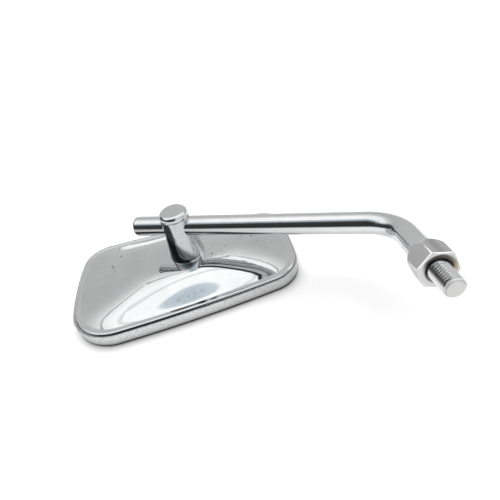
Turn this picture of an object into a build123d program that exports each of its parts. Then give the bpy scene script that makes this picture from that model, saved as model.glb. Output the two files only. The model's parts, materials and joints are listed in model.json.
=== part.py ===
"""Motorcycle mirror: a trapezoid chrome head that turns on a bent arm with a threaded stud.

The mirror lies on its rim with the glass down. X runs along the arm's straight run and Z is up.
The pieces are drawn about the post: x = y = 0 is the post's axis, and z = 0 is the surface that
the rim lies on. At the end they all move together, so that the origin is the middle of the
mirror's footprint. Sizes are millimetres and degrees.
"""
import os
from math import cos, radians, sin, sqrt

from build123d import *

# Arm: a round rod, bent once, with its end turned down to a threaded stud
rod_diameter = 10.0
stub_length = 23.1
stub_chamfer = 1.6
arm_reach = 103.2
bend_radius = 17.0
bend_angle = 72.3
bend_lift = 11.5
leg_length = 26.7
stud_diameter = 8.0
stud_free_length = 11.4
stud_chamfer = 1.0
thread_pitch = 1.25

# Lock nut: a hexagon with a domed back and a countersunk front
nut_flats = 13.8
nut_length = 12.5
nut_dome_length = 5.8
nut_back_step = 0.6
nut_front_chamfer = 0.5
nut_countersink_rim = 1.1
nut_countersink_angle = 90.0
nut_seat_gap = 0.1
nut_rest_angle = -7.1

# Clamp bolt: a cross-drilled bolt that pulls the rod down into the sleeve
clamp_side_wall = 1.3
clamp_rod_wall = 2.2
clamp_pull_room = 1.0
clamp_head_step = 0.9
clamp_head_height = 3.1
clamp_head_round = 1.1
clamp_thread_diameter = 8.0
clamp_thread_end = 0.6
clamp_thread_chamfer = 0.5

# Post sleeve: a flared taper between the bolt's head and the dome
sleeve_top_wall = 0.8
sleeve_waist_flare = 0.6
sleeve_base_flare = 2.05
sleeve_roof = 1.0
sleeve_edge = 0.2
rod_above_seat = 17.65

# Head outline: a trapezoid with bowed sides and round corners, measured from the post's axis
head_turn = 23.5
head_left = 64.8
head_right = 55.0
head_left_half = 39.1
head_right_half = 30.3
side_bow = 2.3
left_end_bow = 4.0
right_end_bow = 1.2
near_left_corner_radius = 23.8
far_left_corner_radius = 14.4
near_right_corner_radius = 16.4
far_right_corner_radius = 12.9

# Back shell: a drawn cup with a skirt, a ledge that falls inward and a domed back
shell_wall = 1.0
shell_edge_round = 1.2
ledge_width = 4.0
ledge_land = 0.4
ledge_fall = 0.3
dome_rise = 8.05
dome_foot_ease = 1.22
dome_fullness = 2.22
dome_side_swell = 5.3
dome_left_swell = 5.3
dome_right_swell = 4.8
dome_steps = 10
dome_root = 0.05
seat_margin = 0.2
seat_corner_radius = 8.4
seat_bow = 0.3

# Rim and glazing, from the bottom up
rim_wall = 0.8
rim_lip_width = 4.2
rim_round = 1.0
rim_drop = 1.1
gasket_thickness = 0.6
glass_thickness = 3.0
glass_bevel = 0.4
glass_edge_gap = 0.3
pad_thickness = 2.5

# Swivel fastening under the dome
stiffener_thickness = 1.2
stiffener_edge_gap = 1.0
friction_washer_radius = 7.4
friction_washer_thickness = 0.8
disc_spring_radius = 7.0
disc_spring_thickness = 0.8
disc_spring_cone = 0.4
retaining_nut_flats = 13.0
retaining_nut_height = 3.3
retaining_nut_chamfer = 0.4

# Clearances
running_clearance = 0.05
slip_clearance = 0.1
bolt_hole_clearance = 0.2

# Heights, worked out from the rim's underside up to the bolt's head
gasket_top = rim_wall + gasket_thickness
glass_top = gasket_top + glass_thickness
ledge_underside = glass_top + pad_thickness
foot_height = ledge_underside + shell_wall
ledge_height = foot_height + ledge_fall
rim_height = ledge_height - rim_drop
seat_height = foot_height + dome_rise
rod_height = seat_height + rod_above_seat
sleeve_top = rod_height + rod_diameter / 2 + sleeve_roof
clamp_head_under = sleeve_top + slip_clearance
clamp_head_top = clamp_head_under + clamp_head_height

# Heights of the swivel fastening, worked out from the seat down
stiffener_top = seat_height - shell_wall
stiffener_underside = stiffener_top - stiffener_thickness
friction_underside = stiffener_underside - friction_washer_thickness
spring_underside = friction_underside - disc_spring_thickness - disc_spring_cone
retaining_nut_underside = spring_underside - retaining_nut_height
clamp_thread_bottom = retaining_nut_underside - clamp_thread_end

# Radii of the arm, the nut and the post
rod_radius = rod_diameter / 2
rod_hole_radius = rod_radius + running_clearance
stud_radius = stud_diameter / 2
thread_depth_to_pitch_line = 0.325 * thread_pitch
engaged_radius = stud_radius - thread_depth_to_pitch_line
nut_corner_radius = nut_flats / sqrt(3)
nut_back_radius = rod_radius + nut_back_step
nut_front_radius = (nut_flats - nut_front_chamfer) / 2
nut_countersink_radius = stud_radius + nut_countersink_rim
clamp_thread_radius = clamp_thread_diameter / 2
clamp_shank_radius = rod_hole_radius + clamp_side_wall
clamp_head_radius = clamp_shank_radius + clamp_head_step
sleeve_bore_radius = clamp_shank_radius + slip_clearance
sleeve_top_radius = sleeve_bore_radius + sleeve_top_wall
sleeve_waist_radius = sleeve_top_radius + sleeve_waist_flare
sleeve_base_radius = sleeve_top_radius + sleeve_base_flare
swivel_hole_radius = clamp_thread_radius + running_clearance
loose_hole_radius = clamp_thread_radius + bolt_hole_clearance

# Insets from the head's outline
skirt_inset = rim_wall + slip_clearance
skirt_inner_inset = skirt_inset + shell_wall
glass_inset = skirt_inner_inset + glass_edge_gap
seat_half = sleeve_base_radius + seat_margin


def head_plane(height):
    """A level plane whose X runs along the head's long axis."""
    turn = radians(head_turn)
    return Plane(origin=(0, 0, height), x_dir=(cos(turn), sin(turn), 0), z_dir=(0, 0, 1))


def outline_sizes(inset):
    """The head's outline sizes, drawn in by a given amount all round."""
    taper = (head_left_half - head_right_half) / (head_left + head_right)
    return {
        "left": head_left - inset,
        "right": head_right - inset,
        "left_half": head_left_half - inset * (1 + taper),
        "right_half": head_right_half - inset * (1 - taper),
        "side_bow": side_bow,
        "left_bow": left_end_bow,
        "right_bow": right_end_bow,
        "near_left_corner": near_left_corner_radius - inset,
        "far_left_corner": far_left_corner_radius - inset,
        "near_right_corner": near_right_corner_radius - inset,
        "far_right_corner": far_right_corner_radius - inset,
    }


def seat_sizes():
    """The dome's flat top: a rounded square that the post stands on."""
    return {
        "left": seat_half,
        "right": seat_half,
        "left_half": seat_half,
        "right_half": seat_half,
        "side_bow": seat_bow,
        "left_bow": seat_bow,
        "right_bow": seat_bow,
        "near_left_corner": seat_corner_radius,
        "far_left_corner": seat_corner_radius,
        "near_right_corner": seat_corner_radius,
        "far_right_corner": seat_corner_radius,
    }


def bowed_trapezoid(sizes):
    """A trapezoid face with bowed sides and ends and round corners."""
    left = sizes["left"] - sizes["left_bow"]
    right = sizes["right"] - sizes["right_bow"]
    left_half = sizes["left_half"] - sizes["side_bow"]
    right_half = sizes["right_half"] - sizes["side_bow"]
    middle_x = (right - left) / 2
    middle_half = (sizes["left_half"] + sizes["right_half"]) / 2
    with BuildSketch() as face:
        with BuildLine():
            ThreePointArc((-left, -left_half), (middle_x, -middle_half), (right, -right_half))
            ThreePointArc((right, -right_half), (sizes["right"], 0), (right, right_half))
            ThreePointArc((right, right_half), (middle_x, middle_half), (-left, left_half))
            ThreePointArc((-left, left_half), (-sizes["left"], 0), (-left, -left_half))
        make_face()
        fillet(face.vertices().sort_by_distance((-left, -left_half))[0], sizes["near_left_corner"])
        fillet(face.vertices().sort_by_distance((-left, left_half))[0], sizes["far_left_corner"])
        fillet(face.vertices().sort_by_distance((right, -right_half))[0], sizes["near_right_corner"])
        fillet(face.vertices().sort_by_distance((right, right_half))[0], sizes["far_right_corner"])
    return face.sketch


def head_face(inset):
    """The head's outline as a face, drawn in by a given amount."""
    return bowed_trapezoid(outline_sizes(inset))


def ledge_sections():
    """The dish that the ledge falls into, from its land down to the dome's foot."""
    with BuildSketch(head_plane(ledge_height)) as brim:
        add(head_face(skirt_inset + shell_edge_round + ledge_land))
    with BuildSketch(head_plane(foot_height)) as foot:
        add(head_face(ledge_width))
    return [brim.sketch, foot.sketch]


def swollen(sizes, amount):
    """A section with its corners drawn in by more bow on its sides, its middles kept."""
    corners = ("near_left_corner", "far_left_corner", "near_right_corner", "far_right_corner")
    sizes["side_bow"] += amount * dome_side_swell
    sizes["left_bow"] += amount * dome_left_swell
    sizes["right_bow"] += amount * dome_right_swell
    left = sizes["left"] - sizes["left_bow"]
    right = sizes["right"] - sizes["right_bow"]
    half = min(sizes["left_half"], sizes["right_half"]) - sizes["side_bow"]
    roundest = 0.9 * min(left, right, half)
    for corner in corners:
        sizes[corner] = min(sizes[corner], roundest)
    return sizes


def dome_sections(inset, drop):
    """The dome's level sections from its foot on the ledge up to the seat, rounder in between."""
    seat = seat_sizes()
    sections = []
    for step in range(dome_steps + 1):
        share = 1 - step / dome_steps
        foot = outline_sizes(ledge_width + inset * share)
        sizes = {name: seat[name] + share * (foot[name] - seat[name]) for name in foot}
        sizes = swollen(sizes, 4 * share * (1 - share))
        climb = 1 - (1 - (1 - share) ** dome_foot_ease) ** dome_fullness
        height = seat_height - drop - (1 - climb) * (dome_rise + dome_root)
        with BuildSketch(head_plane(height)) as section:
            add(bowed_trapezoid(sizes))
        sections.append(section.sketch)
    return sections


# Arm: one swept rod, with the stud turned on its end
lift = radians(bend_lift)
bend = radians(bend_angle)
bend_plane = Plane(origin=(0, 0, rod_height), x_dir=(1, 0, 0), z_dir=(0, -sin(lift), -cos(lift)))
leg_end = (arm_reach + leg_length * cos(bend), leg_length * sin(bend))
across_leg = bend_plane.y_dir * cos(bend) - bend_plane.x_dir * sin(bend)
with BuildPart() as arm:
    with BuildLine(bend_plane) as arm_path:
        FilletPolyline((-stub_length, 0), (arm_reach, 0), leg_end, radius=bend_radius)
    with BuildSketch(Plane(origin=arm_path.line @ 0, z_dir=arm_path.line % 0)):
        Circle(rod_radius)
    sweep()
    chamfer(arm.faces().sort_by(Axis.X)[0].edges(), stub_chamfer)
    shoulder = Plane(origin=arm_path.line @ 1, x_dir=across_leg, z_dir=arm_path.line % 1)
    nut_back = shoulder.offset(nut_seat_gap)
    nut_front = nut_back.offset(nut_length)
    leg_axis = Axis(nut_back.origin, nut_back.z_dir)
    with BuildSketch(shoulder):
        Circle(engaged_radius)
    extrude(amount=nut_seat_gap + nut_length)
    with BuildSketch(nut_front):
        Circle(stud_radius)
    extrude(amount=stud_free_length)
    chamfer(arm.faces().sort_by(leg_axis)[-1].edges(), stud_chamfer)

# Lock nut: a hexagon bar turned to a dome at the back and countersunk at the front
nut_profile_plane = Plane(origin=nut_back.origin, x_dir=nut_back.x_dir, z_dir=-nut_back.y_dir)
with BuildPart() as lock_nut:
    with BuildSketch(nut_back):
        RegularPolygon(nut_flats / 2, 6, major_radius=False, rotation=nut_rest_angle)
    extrude(amount=nut_length)
    with BuildSketch(nut_profile_plane):
        with BuildLine():
            Polyline(
                (nut_back_radius, 0),
                (0, 0),
                (0, nut_length),
                (nut_front_radius, nut_length),
                (nut_corner_radius, nut_length - nut_front_chamfer),
                (nut_corner_radius, nut_dome_length),
            )
            TangentArc((nut_corner_radius, nut_dome_length), (nut_back_radius, 0), tangent=(0, -1))
        make_face()
    revolve(axis=leg_axis, mode=Mode.INTERSECT)
    with Locations(nut_front):
        CounterSinkHole(
            engaged_radius + running_clearance,
            nut_countersink_radius,
            counter_sink_angle=nut_countersink_angle,
        )

# Clamp bolt: a round head and a cross-drilled shank over a threaded tail
shank_bottom = rod_height - rod_hole_radius - clamp_rod_wall
with BuildPart() as clamp_bolt:
    with BuildSketch(Plane.XZ):
        with BuildLine():
            Polyline(
                (0, clamp_thread_bottom),
                (clamp_thread_radius, clamp_thread_bottom),
                (clamp_thread_radius, shank_bottom),
                (clamp_shank_radius, shank_bottom),
                (clamp_shank_radius, clamp_head_under),
                (clamp_head_radius, clamp_head_under),
                (clamp_head_radius, clamp_head_top),
                (0, clamp_head_top),
                close=True,
            )
        make_face()
    revolve(axis=Axis.Z)
    fillet(clamp_bolt.faces().sort_by(Axis.Z)[-1].edges(), clamp_head_round)
    chamfer(clamp_bolt.faces().sort_by(Axis.Z)[0].edges(), clamp_thread_chamfer)
    with BuildSketch(Plane.YZ):
        with Locations((0, rod_height)):
            Circle(rod_hole_radius)
    extrude(amount=clamp_head_radius, both=True, mode=Mode.SUBTRACT)

# Post sleeve: a flared taper, bored for the bolt and cross-drilled for the rod
sleeve_middle = (seat_height + sleeve_top) / 2
sleeve_bore_depth = sleeve_top - shank_bottom + clamp_pull_room
with BuildPart() as post_sleeve:
    with BuildSketch(Plane.XZ):
        with BuildLine():
            ThreePointArc(
                (sleeve_base_radius, seat_height),
                (sleeve_waist_radius, sleeve_middle),
                (sleeve_top_radius, sleeve_top),
            )
            Polyline(
                (sleeve_top_radius, sleeve_top),
                (0, sleeve_top),
                (0, seat_height),
                (sleeve_base_radius, seat_height),
            )
        make_face()
    revolve(axis=Axis.Z)
    chamfer(post_sleeve.faces().filter_by(GeomType.PLANE).edges(), sleeve_edge)
    with Locations(Plane.XY.offset(sleeve_top)):
        CounterBoreHole(loose_hole_radius, sleeve_bore_radius, sleeve_bore_depth)
    with BuildSketch(Plane.YZ):
        with Locations((0, rod_height)):
            Circle(rod_hole_radius)
    extrude(amount=sleeve_base_radius, both=True, mode=Mode.SUBTRACT)

# Back shell: skirt, ledge and dome, hollowed to one wall thickness
with BuildPart() as back_shell:
    with BuildSketch(head_plane(gasket_top)):
        add(head_face(skirt_inset))
    extrude(amount=ledge_height - gasket_top)
    fillet(back_shell.faces().sort_by(Axis.Z)[-1].edges(), shell_edge_round)
    loft(ledge_sections(), ruled=True, mode=Mode.SUBTRACT)
    loft(dome_sections(0, 0))
    with BuildSketch(head_plane(gasket_top)):
        add(head_face(skirt_inner_inset))
    extrude(amount=ledge_underside - gasket_top, mode=Mode.SUBTRACT)
    loft(dome_sections(shell_wall / 2, shell_wall), mode=Mode.SUBTRACT)
    with Locations(Plane.XY.offset(seat_height)):
        Hole(swivel_hole_radius, 2 * shell_wall)

# Rim: a channel that wraps the skirt and carries the glass on its lip
with BuildPart() as rim:
    with BuildSketch(head_plane(0)):
        add(head_face(0))
    extrude(amount=rim_height)
    fillet(rim.faces().sort_by(Axis.Z)[0].edges(), rim_round)
    with BuildSketch(head_plane(rim_wall)):
        add(head_face(rim_wall))
    extrude(amount=rim_height, mode=Mode.SUBTRACT)
    with BuildSketch(head_plane(0)):
        add(head_face(rim_lip_width))
    extrude(amount=rim_height, mode=Mode.SUBTRACT)

# Glazing: gasket strip, glass and backing pad, stacked on the rim's lip
with BuildPart() as glazing_gasket:
    with BuildSketch(head_plane(rim_wall)):
        add(head_face(skirt_inset))
        add(head_face(rim_lip_width), mode=Mode.SUBTRACT)
    extrude(amount=gasket_thickness)

with BuildPart() as mirror_glass:
    with BuildSketch(head_plane(gasket_top)):
        add(head_face(glass_inset))
    extrude(amount=glass_thickness)
    chamfer(mirror_glass.faces().sort_by(Axis.Z)[0].edges(), glass_bevel)

with BuildPart() as backing_pad:
    with BuildSketch(head_plane(glass_top)):
        add(head_face(glass_inset))
    extrude(amount=pad_thickness)

# Swivel fastening: stiffener and friction washer on the head, disc spring and nut on the bolt
stiffener_side = 2 * (seat_half - stiffener_edge_gap)
with BuildPart() as stiffener_plate:
    with BuildSketch(head_plane(stiffener_underside)):
        RectangleRounded(stiffener_side, stiffener_side, seat_corner_radius - stiffener_edge_gap)
        Circle(swivel_hole_radius, mode=Mode.SUBTRACT)
    extrude(amount=stiffener_thickness)

with BuildPart() as friction_washer:
    with BuildSketch(Plane.XY.offset(friction_underside)):
        Circle(friction_washer_radius)
        Circle(swivel_hole_radius, mode=Mode.SUBTRACT)
    extrude(amount=friction_washer_thickness)

with BuildPart() as disc_spring:
    with BuildSketch(Plane.XZ):
        with BuildLine():
            Polyline(
                (loose_hole_radius, spring_underside),
                (disc_spring_radius, spring_underside + disc_spring_cone),
                (disc_spring_radius, friction_underside),
                (loose_hole_radius, friction_underside - disc_spring_cone),
                close=True,
            )
        make_face()
    revolve(axis=Axis.Z)

with BuildPart() as retaining_nut:
    with BuildSketch(Plane.XY.offset(retaining_nut_underside)):
        RegularPolygon(retaining_nut_flats / 2, 6, major_radius=False)
        Circle(clamp_thread_radius + running_clearance, mode=Mode.SUBTRACT)
    extrude(amount=retaining_nut_height)
    chamfer(retaining_nut.faces().sort_by(Axis.Z)[0].outer_wire().edges(), retaining_nut_chamfer)

pieces = {
    "arm": arm,
    "lock_nut": lock_nut,
    "clamp_bolt": clamp_bolt,
    "post_sleeve": post_sleeve,
    "disc_spring": disc_spring,
    "retaining_nut": retaining_nut,
    "back_shell": back_shell,
    "stiffener_plate": stiffener_plate,
    "friction_washer": friction_washer,
    "backing_pad": backing_pad,
    "mirror_glass": mirror_glass,
    "glazing_gasket": glazing_gasket,
    "rim": rim,
}

# The origin is the middle of the whole mirror's footprint, on the surface that it lies on
footprint = Compound([piece.part for piece in pieces.values()]).bounding_box()
to_origin = Location((-footprint.center().X, -footprint.center().Y, -footprint.min.Z))

os.makedirs("parts", exist_ok=True)
for name, piece in pieces.items():
    piece.part.move(to_origin)
    piece.part.label = name
    export_step(piece.part, f"parts/{name}.step")
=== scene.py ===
"""Motorcycle mirror: the bent rod, its screw thread, the finishes, the studio and the camera.

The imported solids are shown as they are, apart from the arm, the lock nut and the clamp bolt. The
arm is swept and threaded again here, the nut's edges are eased, and the bolt's head is rounded
more fully.
"""

import json
import math
from functools import partial

import bmesh
import bpy
from mathutils import Matrix, Vector


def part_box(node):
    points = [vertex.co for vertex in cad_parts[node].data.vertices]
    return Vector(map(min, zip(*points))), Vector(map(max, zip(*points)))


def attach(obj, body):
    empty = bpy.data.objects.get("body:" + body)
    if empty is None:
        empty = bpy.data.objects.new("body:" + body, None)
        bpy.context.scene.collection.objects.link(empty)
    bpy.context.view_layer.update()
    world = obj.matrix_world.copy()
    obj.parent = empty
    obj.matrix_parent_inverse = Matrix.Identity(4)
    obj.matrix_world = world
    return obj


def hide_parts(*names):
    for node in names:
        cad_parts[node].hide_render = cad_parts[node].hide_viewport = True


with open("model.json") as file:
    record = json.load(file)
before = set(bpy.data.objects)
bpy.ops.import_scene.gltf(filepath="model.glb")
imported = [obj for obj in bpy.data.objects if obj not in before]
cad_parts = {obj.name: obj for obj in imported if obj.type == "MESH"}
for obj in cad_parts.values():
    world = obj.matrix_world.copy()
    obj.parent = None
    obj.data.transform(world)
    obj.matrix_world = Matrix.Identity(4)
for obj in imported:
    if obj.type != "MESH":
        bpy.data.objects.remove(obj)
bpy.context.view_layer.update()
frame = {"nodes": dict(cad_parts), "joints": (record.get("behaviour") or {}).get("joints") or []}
nodes = frame["nodes"]
joints = {joint["name"]: joint for joint in frame["joints"]}
scene = bpy.context.scene
scene.view_settings.view_transform = "Standard"

MM = 0.001
clamp_point = Vector(joints["head_tilt"]["pos_m"])
nut_front = Vector(joints["nut_turn"]["pos_m"])
leg_axis = Vector(joints["nut_turn"]["axis"]).normalized()
post_foot = Vector((*clamp_point.xy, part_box("post_sleeve")[0][2]))

# Arm, as in the solids
ROD_RADIUS = 5.0 * MM
ROD_SIDES = 128
STUB_LENGTH = 23.1 * MM
STUB_ROUND = 1.6 * MM
STUB_STEPS = 8
STUB_STRAIGHT = 1.4 * STUB_ROUND
ARM_REACH = 103.2 * MM
BEND_RADIUS = 17.0 * MM
BEND_STEPS = 48

# Stud: a plain neck, then a thread that deepens as it starts, with flat crests and roots
NECK_RADIUS = 3.59 * MM
STUD_FREE_LENGTH = 11.4 * MM
STUD_CHAMFER = 1.0 * MM
STUD_SIDES = 72
THREAD_CREST = 4.0 * MM
THREAD_ROOT = 3.25 * MM
THREAD_PITCH = 1.25 * MM
THREAD_LEAD_IN = 0.9 * MM
THREAD_DEEPENING = 1.5
THREAD_FLAT = 0.15
ROWS_PER_TURN = 14

# Lock nut and clamp bolt
NUT_LENGTH = 12.6 * MM
NUT_EASED_EDGE = 0.55 * MM
NUT_SHORT_EDGE = 3.0 * MM
NUT_LEVEL_DEGREES = 0.8
NUT_SHARP_DEGREES = 24
CAP_RADIUS = 7.25 * MM
CAP_ROUND = 2.2 * MM
CAP_STEPS = 12
WELD_DISTANCE = 2e-6

# Directions along which painted shade, painted highlight, the stub end's tones and wear change
UP = Vector((0, 0, 1))
ALONG_ARM = Vector((1, 0, 0))
SLEEVE_LEAN = Vector((0.7, 0.4, 0.6))

# Painted shade under the rod: it starts high on the side by the post, and low on it towards the
# bend
UNDERSIDE_BY_POST = 0.45
UNDERSIDE_BY_BEND = -0.45
UNDERSIDE_SHARPNESS = 4.0
UNDERSIDE_REACH = 0.8 * ARM_REACH

# Where painted shade, painted highlight, the stub end's darker tones, wear and rust begin and fill:
# heights above the table, then distances from the stub's end, from the clamp along the arm, and
# from the post's foot
# Painted shade in the seam between the shell and the rim
SEAM_SHADE_HEIGHTS = (7.6 * MM, 7.45 * MM)
# Painted shade on the rim, darker towards its foot: a painted reflection of the shadow on the
# table; the lowest lip stays plain chrome
RIM_FOOT_SHADE_HEIGHTS = (3.2 * MM, 1.5 * MM)
RIM_CONTACT_SHADE_HEIGHTS = (1.9 * MM, 1.3 * MM)
RIM_LIP_HEIGHTS = (0.3 * MM, 0.2 * MM)
STUB_EDGE_WIDTHS = (STUB_ROUND, 0.6 * STUB_ROUND)
STUB_FACE_WIDTHS = (0.02 * STUB_ROUND, 0.01 * STUB_ROUND)
SCUFF_REACHES = (0.88 * ARM_REACH, 0.97 * ARM_REACH)
# Painted shade low on the sleeve's left side, and a painted highlight along its foot
SLEEVE_SHADE_RISES = (5.0 * MM, 2.8 * MM)
SLEEVE_FOOT_HIGHLIGHT_RISES = (0.5 * MM, 0.4 * MM)
SHELL_RUST_PLACE = Vector((15.0, 3.0, 0.0)) * MM
SHELL_RUST_REACH = 8.0 * MM

# Rust, wear, painted shade in the hole and a painted highlight on the front edge of the nut, by
# distance from its front, its axis or a place on it
NUT_CLOUD_SHARE = 0.3
NUT_ROUGHNESS = 0.3
NUT_HAIRLINE_ROUGHNESS = 0.1
NUT_RUST_PLACE = Vector((5.5, 2.5, 1.0)) * MM
NUT_RUST_REACH = 5.5 * MM
NUT_RUST_CORE = 1.5 * MM
NUT_RUST_LEAST = 0.45
NUT_RUST_CLOUDING = 0.5
NUT_RUST_ROUGHNESS = 0.2
# Painted shade in the nut's hole, centred a little above its axis
HOLE_SHADE_LIFT = 1.4 * MM
HOLE_SHADE_REACH = 5.9 * MM
HOLE_SHADE_CORE = 4.7 * MM
# Worn front edge of the nut, painted white: wear and a painted highlight
WORN_HIGHLIGHT_PAST_FRONT = (-1.0 * MM, -0.7 * MM)
WORN_HIGHLIGHT_RADII = (6.4 * MM, 6.6 * MM)

# Painted shade in the thread's roots and on its chamfer, and wear on the stud; chalky steel shows
# as plain white, with little of the metal's shine
THREAD_ROUGHNESS = 0.16
THREAD_CLOUD_ROUGHNESS = 0.1
THREAD_SHADE_POWER = 2.4
TURNED_ROUGHNESS = 0.3
CHAMFER_SHADE = 0.35
CHAMFER_CHALK = 0.6
PLAIN_WHITE_SHARE = 0.95

# Plating: how far its marks change its colour, its roughness and its height
CLOUD_DIMMING = 0.88
GRAIN_DIMMING = 0.6
STEEL_CLOUD_DIMMING = 0.8
STAIN_SHARE = 0.35
RUST_SHARE = 0.6
RUST_CORE = 0.3
PIT_ROUGHNESS = 0.5
SCUFF_ROUGHNESS = 0.35
PIT_DEPTH = 3.0
GRAIN_HEIGHT = 3.0
MARK_HEIGHT = 4e-6
MARK_STRENGTH = 0.25

# Tones
CHROME = (0.925, 0.935, 0.94)
RIM_CHROME = (0.88, 0.885, 0.89)
SLEEVE_CHROME = (0.74, 0.755, 0.77)
# Near-black painted shade, in the seam above the rim and at the rim's foot
SHADE_BLACK = (0.03, 0.03, 0.031)
# Painted shade low on the sleeve's left side
SLEEVE_SHADE = (0.15, 0.15, 0.16)
# Painted shade under the rod
UNDERSIDE_SHADE = (0.48, 0.48, 0.49)
STUB_EDGE = (0.3, 0.3, 0.31)
STUB_FACE = (0.6, 0.6, 0.6)
# Grey painted shade on the rim's lower band
RIM_FOOT_SHADE = (0.5, 0.5, 0.5)
STAIN = (0.42, 0.36, 0.27)
PIT = (0.07, 0.06, 0.05)
RUST = (0.55, 0.5, 0.3)
RUST_PIT = (0.08, 0.07, 0.05)
NUT_SATIN = (0.8, 0.8, 0.81)
NUT_CLOUDED = (0.66, 0.66, 0.67)
NUT_RUST = (0.6, 0.46, 0.3)
NUT_PIT = (0.12, 0.1, 0.08)
# Painted shade in the nut's hole
HOLE_SHADE = (0.16, 0.155, 0.15)
# Bare steel on the thread, and the nut's worn edges painted white as a highlight
BARE_STEEL_AND_HIGHLIGHT = (0.98, 0.98, 0.98)
TURNED_STEEL = (0.98, 0.98, 0.97)
# Painted shade in the thread's roots
THREAD_ROOT_SHADE = (0.03, 0.028, 0.025)
ZINC = (0.62, 0.63, 0.66)
SPRING_GREY = (0.34, 0.34, 0.36)
RUBBER_BLACK = (0.022, 0.022, 0.023)
RUBBER_BLOOM = (0.05, 0.049, 0.047)
NYLON_WHITE = (0.8, 0.78, 0.7)
NYLON_AGED = (0.66, 0.63, 0.55)
SILVER = (0.86, 0.89, 0.88)
SILVER_HAZE = (0.83, 0.86, 0.85)

# The photograph's camera, about the point where the rod's axis crosses the post's
PHOTO_SIDE = 500
FOCAL_PIXELS = 400
EYE_FROM_CLAMP = Vector((0.09064, -0.14384, 0.11350))
VIEW_RIGHT = Vector((0.9607, 0.2081, -0.1834))
VIEW_DOWN = Vector((0.0032, -0.6694, -0.7429))

# Kinds of socket
GEOMETRY = "NodeSocketGeometry"
VECTOR = "NodeSocketVector"
NUMBER = "NodeSocketFloat"
COUNT = "NodeSocketInt"


# Steps that every tree of nodes is made of


def add_node(tree, kind, values=None, **settings):
    """A node with its settings and its input values, the values by socket name or number."""
    node = tree.nodes.new(kind)
    for name, value in settings.items():
        setattr(node, name, value)
    for socket, value in (values or {}).items():
        node.inputs[socket].default_value = value
    return node


def feed(tree, socket, value):
    """Links another socket to this one, or gives it a number, a vector or a colour."""
    if isinstance(value, bpy.types.NodeSocket):
        tree.links.new(value, socket)
    elif isinstance(value, tuple):
        socket.default_value = (*value, 1)
    else:
        socket.default_value = value


def link_sockets(tree, *pairs):
    for source, target in pairs:
        tree.links.new(source, target)


def math_node(tree, operation, *values, clamp=False):
    """One step of arithmetic on sockets or numbers, given back as its output socket."""
    node = add_node(tree, "ShaderNodeMath", operation=operation, use_clamp=clamp)
    for socket, value in zip(node.inputs, values):
        feed(tree, socket, value)
    return node.outputs[0]


def vector_node(tree, operation, *values):
    """One step of arithmetic on vectors, given back as its vector or its number."""
    node = add_node(tree, "ShaderNodeVectorMath", operation=operation)
    for socket, value in zip(node.inputs, values):
        feed(tree, socket, value)
    gives_number = operation in ("DISTANCE", "DOT_PRODUCT", "LENGTH")
    return node.outputs["Value" if gives_number else "Vector"]


def place_along(tree, position, direction):
    """How far a point lies along a direction."""
    return vector_node(tree, "DOT_PRODUCT", position, direction)


def away_from_leg(tree, position, centre):
    """How far a point lies from a line along the leg through a centre."""
    offset = vector_node(tree, "SUBTRACT", position, centre)
    return vector_node(tree, "LENGTH", vector_node(tree, "CROSS_PRODUCT", offset, leg_axis))


def places_from(start, distances):
    return [start + distance for distance in distances]


def fade(tree, value, begins, fills, least=0.0, most=1.0, shape="LINEAR"):
    """Goes from the least to the most while a value goes from where it begins to where it fills."""
    node = add_node(tree, "ShaderNodeMapRange", interpolation_type=shape)
    sockets = ("Value", "From Min", "From Max", "To Min", "To Max")
    for socket, part in zip(sockets, (value, begins, fills, least, most)):
        feed(tree, node.inputs[socket], part)
    return node.outputs[0]


def noise(tree, position, scale, detail, roughness=0.5, distortion=0.0):
    values = {"Detail": detail, "Roughness": roughness, "Distortion": distortion}
    node = add_node(tree, "ShaderNodeTexNoise", values)
    feed(tree, node.inputs["Vector"], position)
    feed(tree, node.inputs["Scale"], scale)
    return node.outputs["Fac"]


def mix_colours(tree, share, first, second):
    """A colour between two, each a socket or plain numbers."""
    node = add_node(tree, "ShaderNodeMix", data_type="RGBA")
    feed(tree, node.inputs["Factor"], share)
    feed(tree, node.inputs[6], first)
    feed(tree, node.inputs[7], second)
    return node.outputs[2]


def new_group(name, kind, inputs, outputs):
    """An empty node group with named sockets, and its input and output nodes."""
    group = bpy.data.node_groups.new(name, kind)
    for label, socket, default in inputs:
        item = group.interface.new_socket(label, in_out="INPUT", socket_type=socket)
        if default is not None:
            item.default_value = default
    for label, socket in outputs:
        group.interface.new_socket(label, in_out="OUTPUT", socket_type=socket)
    return group, group.nodes.new("NodeGroupInput"), group.nodes.new("NodeGroupOutput")


# Shared effects on the surface


def polish_marks_group():
    """Fine hairlines in two directions, the slow cloudiness of old plating, and its grain."""
    group, given, made = new_group(
        "polish_marks",
        "ShaderNodeTree",
        (("Position", VECTOR, None), ("Hairline Scale", NUMBER, 400.0)),
        (("Hairlines", NUMBER), ("Cloud", NUMBER), ("Grain", NUMBER)),
    )
    position = given.outputs["Position"]
    scale = given.outputs["Hairline Scale"]
    directions = []
    for lean, turn, stretch in ((0.2, 0.5, 9.0), (-0.36, -0.9, 14.0)):
        values = {"Rotation": (lean, 0, turn), "Scale": (1, stretch, stretch)}
        drawn_out = add_node(group, "ShaderNodeMapping", values)
        group.links.new(position, drawn_out.inputs["Vector"])
        streaks = noise(group, drawn_out.outputs[0], scale, detail=3.0, roughness=0.65)
        directions.append(fade(group, streaks, begins=0.61, fills=0.74))
    cloud = noise(group, position, scale=45.0, detail=5.0, roughness=0.6)
    grain = noise(group, position, scale=1300.0, detail=2.0, roughness=0.6)
    link_sockets(
        group,
        (math_node(group, "MAXIMUM", *directions), made.inputs["Hairlines"]),
        (fade(group, cloud, begins=0.35, fills=0.7), made.inputs["Cloud"]),
        (grain, made.inputs["Grain"]),
    )
    return group


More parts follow.
